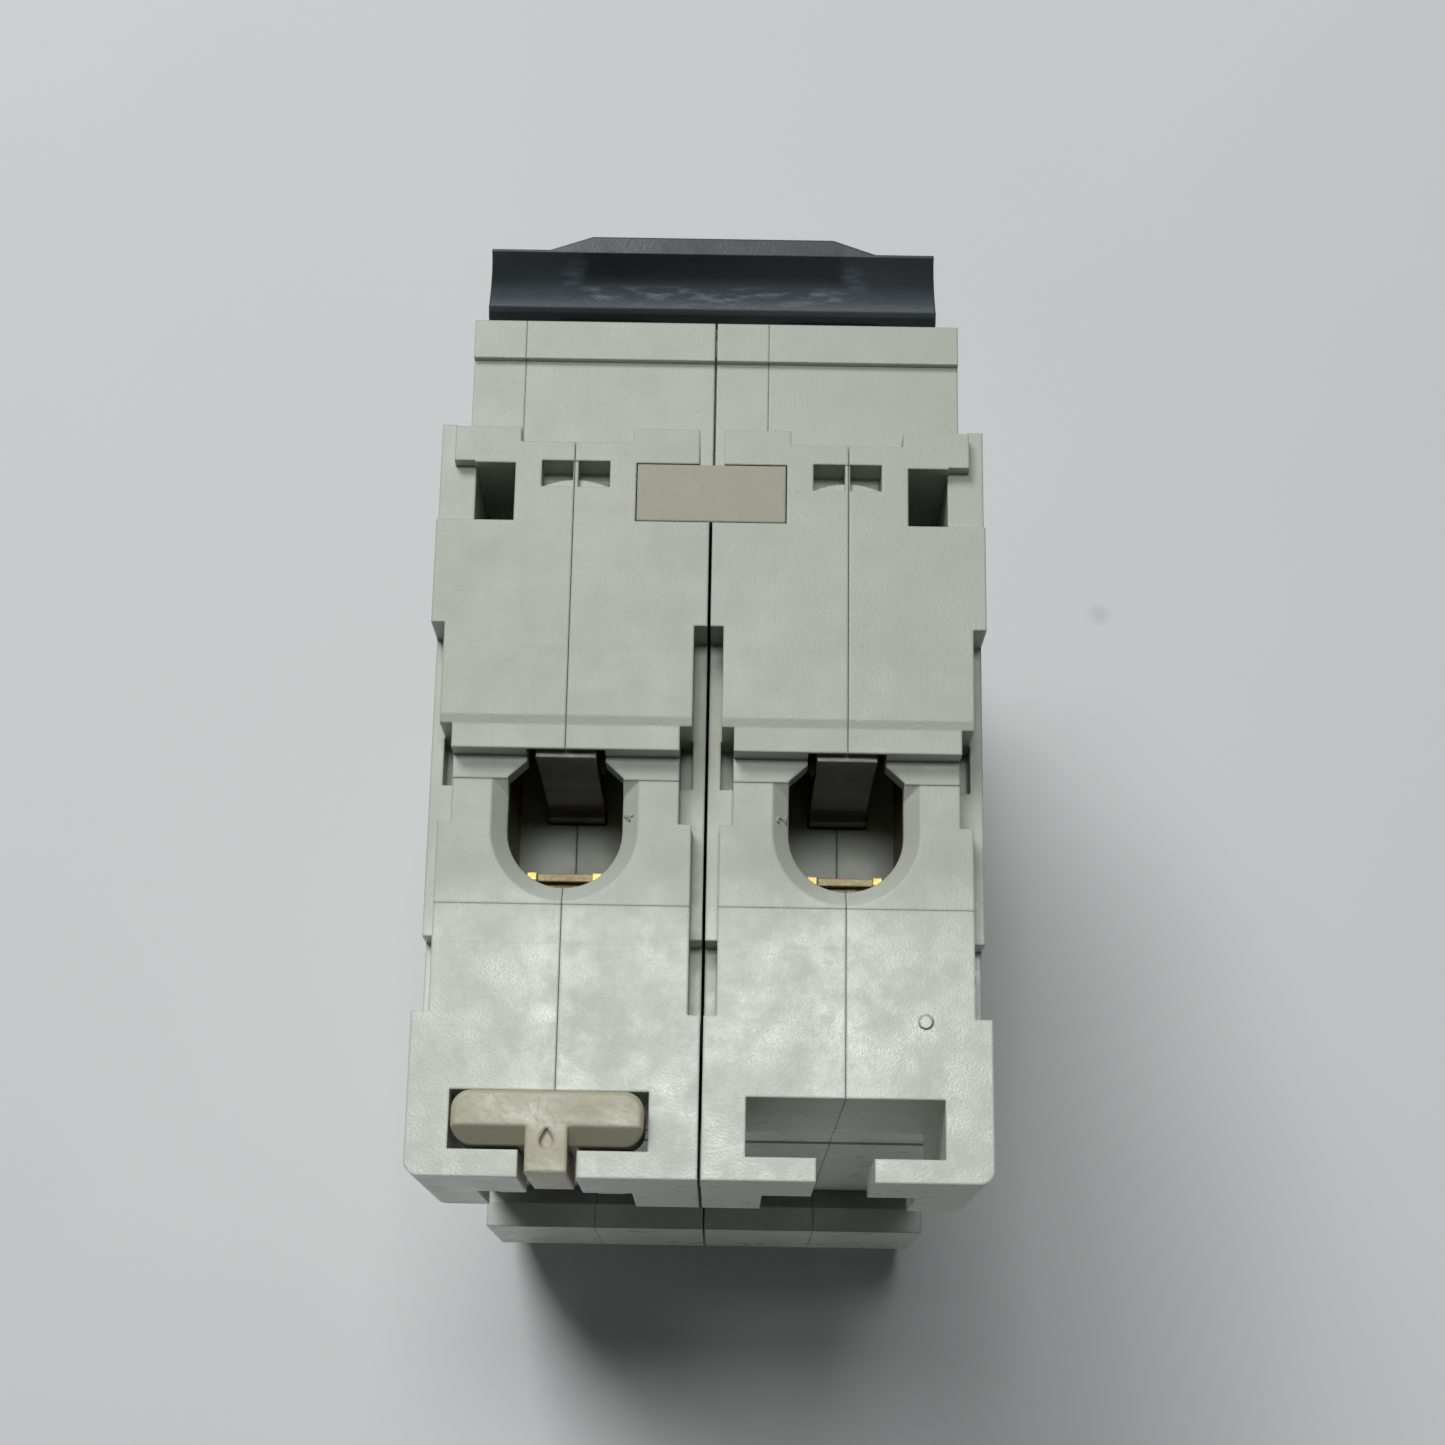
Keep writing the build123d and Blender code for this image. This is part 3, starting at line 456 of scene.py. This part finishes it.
# ---- surfaces -----------------------------------------------------------------------
def surface(name, grid, body, slot, closed_u=False):
    """Mesh from a grid of points [u, v, xyz]; v runs round the section, u along the path.

    A path that isn't closed gets a cap at each end.
    """
    count_u, count_v = grid.shape[:2]
    index = np.arange(count_u * count_v).reshape(count_u, count_v)
    rows = index if closed_u else index[:-1]
    after_u = np.roll(index, -1, axis=0) if closed_u else index[1:]
    quads = np.stack([rows, np.roll(rows, -1, axis=1), np.roll(after_u, -1, axis=1), after_u],
                     axis=-1).reshape(-1, 4)
    faces = quads.tolist()
    if not closed_u:
        faces += [index[0, ::-1].tolist(), index[-1].tolist()]
    mesh = bpy.data.meshes.new(name)
    mesh.from_pydata(grid.reshape(-1, 3).tolist(), [], faces)
    mesh.polygons.foreach_set("use_smooth", [True] * len(mesh.polygons))
    mesh.materials.append(FINISHES[slot])
    mesh.validate()
    piece = bpy.data.objects.new(name, mesh)
    bpy.context.scene.collection.objects.link(piece)
    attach(piece, body)
    return piece


def tube(path, radius, guide, sides=10, closed=False):
    """Round tube: at each point of the path a circle in the plane across the path.

    guide is a direction, or one for each point, that is never along the path.
    """
    step = np.roll(path, -1, axis=0) - np.roll(path, 1, axis=0) if closed else np.gradient(path, axis=0)
    along = step / np.linalg.norm(step, axis=1, keepdims=True)
    across = np.cross(along, guide)
    across /= np.linalg.norm(across, axis=1, keepdims=True)
    up = np.cross(along, across)
    angle = np.linspace(0, 2 * math.pi, sides, endpoint=False)
    ring = across[:, None] * np.cos(angle)[None, :, None] + up[:, None] * np.sin(angle)[None, :, None]
    return path[:, None] + radius * ring


def trip_winding():
    """Helix: the wire goes round the bobbin while it climbs one pitch a turn."""
    turns = 6.1
    low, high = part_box("trip_coil")
    wire = 0.72 * MM
    radius = (high[0] - low[0]) / 2 - wire
    angle = np.linspace(0.0, 2 * math.pi * turns, 250)
    rise = np.linspace(low[2] + wire, high[2] - wire, angle.size)
    path = np.stack([(low[0] + high[0]) / 2 + radius * np.cos(angle),
                     (low[1] + high[1]) / 2 + radius * np.sin(angle), rise], axis=1)
    piece = surface("trip_winding", tube(path, wire, (0.0, 0.0, 1.0)), "housing", "copper")
    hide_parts("trip_coil")


def ring_winding():
    """Toroidal helix: as the angle goes once round the ring, the wire goes 70 times round its
    rounded-square section, whose sine and cosine are raised to the power 0.4."""
    turns = 70
    low, high = np.array(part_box("summation_core"))
    middle = (low + high) / 2
    outer = (high[2] - low[2]) / 2
    ring = 0.81 * outer
    wire = 0.22 * MM
    deep = outer - ring + wire
    wide = (high[0] - low[0]) / 2 + wire
    angle = np.linspace(0.0, 2 * math.pi, turns * 20, endpoint=False)
    spin = angle * turns
    out = deep * np.sign(np.cos(spin)) * np.abs(np.cos(spin)) ** 0.4
    side = wide * np.sign(np.sin(spin)) * np.abs(np.sin(spin)) ** 0.4
    path = np.stack([middle[0] + side, middle[1] + (ring + out) * np.cos(angle),
                     middle[2] + (ring + out) * np.sin(angle)], axis=1)
    guide = np.stack([np.zeros_like(angle), -np.sin(angle), np.cos(angle)], axis=1)
    piece = surface("ring_winding", tube(path, wire, guide, sides=6, closed=True), "housing",
                    "copper", closed_u=True)
    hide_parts("secondary_winding")


def raised_figure(name, text, size_mm, rise_mm, place, right, up, body, slot, finish=None):
    """A figure as a flat slab on a face; right and up are its reading directions."""
    curve = bpy.data.curves.new(name, "FONT")
    curve.body = text
    curve.size = size_mm * MM
    curve.extrude = rise_mm * MM
    curve.align_x = "CENTER"
    curve.align_y = "CENTER"
    holder = bpy.data.objects.new(name + "_line", curve)
    bpy.context.scene.collection.objects.link(holder)
    bpy.context.view_layer.update()
    mesh = bpy.data.meshes.new_from_object(holder.evaluated_get(bpy.context.evaluated_depsgraph_get()))
    bpy.data.objects.remove(holder)
    weld = bmesh.new()
    weld.from_mesh(mesh)
    bmesh.ops.remove_doubles(weld, verts=weld.verts, dist=0.0005 * MM)
    weld.to_mesh(mesh)
    weld.free()
    out = np.cross(right, up)
    mesh.transform(Matrix([[right[row], up[row], out[row], place[row]] for row in range(3)]
                          + [[0, 0, 0, 1]]))
    mesh.materials.clear()
    mesh.materials.append(finish or FINISHES[slot])
    piece = bpy.data.objects.new(name, mesh)
    bpy.context.scene.collection.objects.link(piece)
    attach(piece, body)


def terminal_figures():
    """Terminal numbers moulded on the slope beside each wire mouth, one pair a pole."""
    for letter, side in SIDES.items():
        for end_name, end in (("latch_end", 1), ("hook_end", -1)):
            number = str((1 if letter == "b" else 3) + (end > 0))
            for flank in (1, -1):
                place = np.array([side * CENTRE + flank * 4.12 * MM, -17.5 * MM, end * 37.8 * MM])
                out = np.array([flank * -0.625, 0.0, end * 0.78])
                right = np.array([0.0, -end, 0.0])
                raised_figure(f"figure_{letter}_{end_name}_{'left' if flank > 0 else 'right'}", number,
                              1.1, 0.05, place, right, np.cross(out, right), "housing", "housing_grey")


def switch_figures():
    """Printed I above the toggle and O below it, on the nose."""
    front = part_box("housing_a_inner")[0][1]
    for name, text, side, height in (("on", "I", 1, 11.6), ("off", "O", -1, -11.6)):
        raised_figure(f"mark_{name}", text, 4.2, 0.02, np.array([side * CENTRE, front, height * MM]),
                      np.array([1.0, 0.0, 0.0]), np.array([0.0, 0.0, 1.0]), "housing", "housing_grey",
                      INK)


def ejector_mark():
    """Shallow dished spot left by an ejector pin: a disc whose height falls as its radius squared."""
    radius = 0.55 * MM
    sunk = 0.03 * MM
    raised = 0.05 * MM
    ring = np.linspace(1.0, 0.04, 9)
    angle = np.linspace(0.0, 2 * math.pi, 32, endpoint=False)
    centre = np.array([-13.73, -4.81, 38.16]) * MM
    height = np.where(ring > 0.9, 0.0, raised * (0.35 + 0.65 * ring ** 2))
    grid = np.stack([centre[0] + radius * np.outer(ring, np.cos(angle)),
                     centre[1] + radius * np.outer(ring, np.sin(angle)),
                     np.repeat((centre[2] - sunk + height)[:, None], angle.size, axis=1)], axis=2)
    surface("ejector_mark", grid, "housing", "housing_grey")


dress_frame()
trip_winding()
ring_winding()
terminal_figures()
switch_figures()
ejector_mark()


# ---- room ---------------------------------------------------------------------------
def build_floor():
    """Floor that runs flat under the breaker and far past the view."""
    reach = 1.2
    corners = [(-reach, -reach, FLOOR), (reach, -reach, FLOOR), (reach, reach, FLOOR),
               (-reach, reach, FLOOR)]
    mesh = bpy.data.meshes.new("floor")
    mesh.from_pydata(corners, [], [(0, 1, 2, 3)])
    mesh.materials.append(worktop())
    floor = bpy.data.objects.new("floor", mesh)
    bpy.context.scene.collection.objects.link(floor)


def aim(thing, place, target, roll=0.0):
    """Stands a light or camera at a place, looking at a target, with +Z upwards."""
    ahead = np.array(target) - np.array(place)
    ahead /= np.linalg.norm(ahead)
    side = np.cross(ahead, (0.0, 0.0, 1.0))
    side /= np.linalg.norm(side)
    top = np.cross(side, ahead)
    right = math.cos(roll) * side + math.sin(roll) * top
    up = math.cos(roll) * top - math.sin(roll) * side
    thing.matrix_world = Matrix([[right[row], up[row], -ahead[row], place[row]] for row in range(3)]
                                + [[0, 0, 0, 1]])


def build_lights():
    """One soft lamp high above the front, a small one for the gloss, and a room that is pale at the
    horizon and dim overhead."""
    lamps = [
        ("key", 13.7, (0.6, 0.6), (0.46, -0.85, 1.2), (0.0, -0.02, 0.0)),
        ("sheen", 3.5, (0.3, 0.2), (0.0, -0.18, 1.1), (0.0, 0.0, 0.03)),
    ]
    for name, power, size, place, target in lamps:
        light = bpy.data.lights.new(name, "AREA")
        light.shape = "RECTANGLE"
        light.size, light.size_y = size
        light.energy = power
        lamp = bpy.data.objects.new(name, light)
        bpy.context.scene.collection.objects.link(lamp)
        aim(lamp, place, target)
    world = bpy.data.worlds.new("room")
    world.use_nodes = True
    tree = world.node_tree
    tree.nodes.clear()
    towards = add_node(tree, "TexCoord").outputs["Generated"]
    height = add_node(tree, "SeparateXYZ", {0: towards}).outputs["Z"]
    strength = add_node(tree, "MapRange", {"Value": height, "From Min": 0.03, "From Max": 0.3,
                                           "To Min": 0.42, "To Max": 0.05},
                        interpolation_type="SMOOTHSTEP").outputs[0]
    background = add_node(tree, "Background", {"Color": linear("#E3E6EA"), "Strength": strength})
    add_node(tree, "OutputWorld", {"Surface": background.outputs[0]})
    bpy.context.scene.world = world


def build_camera():
    """Camera above the rail side, looking down on the latch end."""
    lens_mm = 62.8
    sensor_mm = 36.0
    pitch = math.radians(73.743)
    yaw = math.radians(0.531)
    roll = math.radians(0.428)
    place = np.array([-1.373, 20.985, 191.400]) * MM
    ahead = np.array([math.sin(yaw) * math.cos(pitch), -math.cos(yaw) * math.cos(pitch),
                      -math.sin(pitch)])
    camera_data = bpy.data.cameras.new("camera")
    camera_data.sensor_width = sensor_mm
    camera_data.lens = lens_mm
    camera_data.clip_start = 0.01
    camera = bpy.data.objects.new("camera", camera_data)
    bpy.context.scene.collection.objects.link(camera)
    aim(camera, place, place + ahead, roll)
    bpy.context.scene.camera = camera


build_floor()
build_lights()
build_camera()
bpy.context.scene.view_settings.view_transform = "Standard"
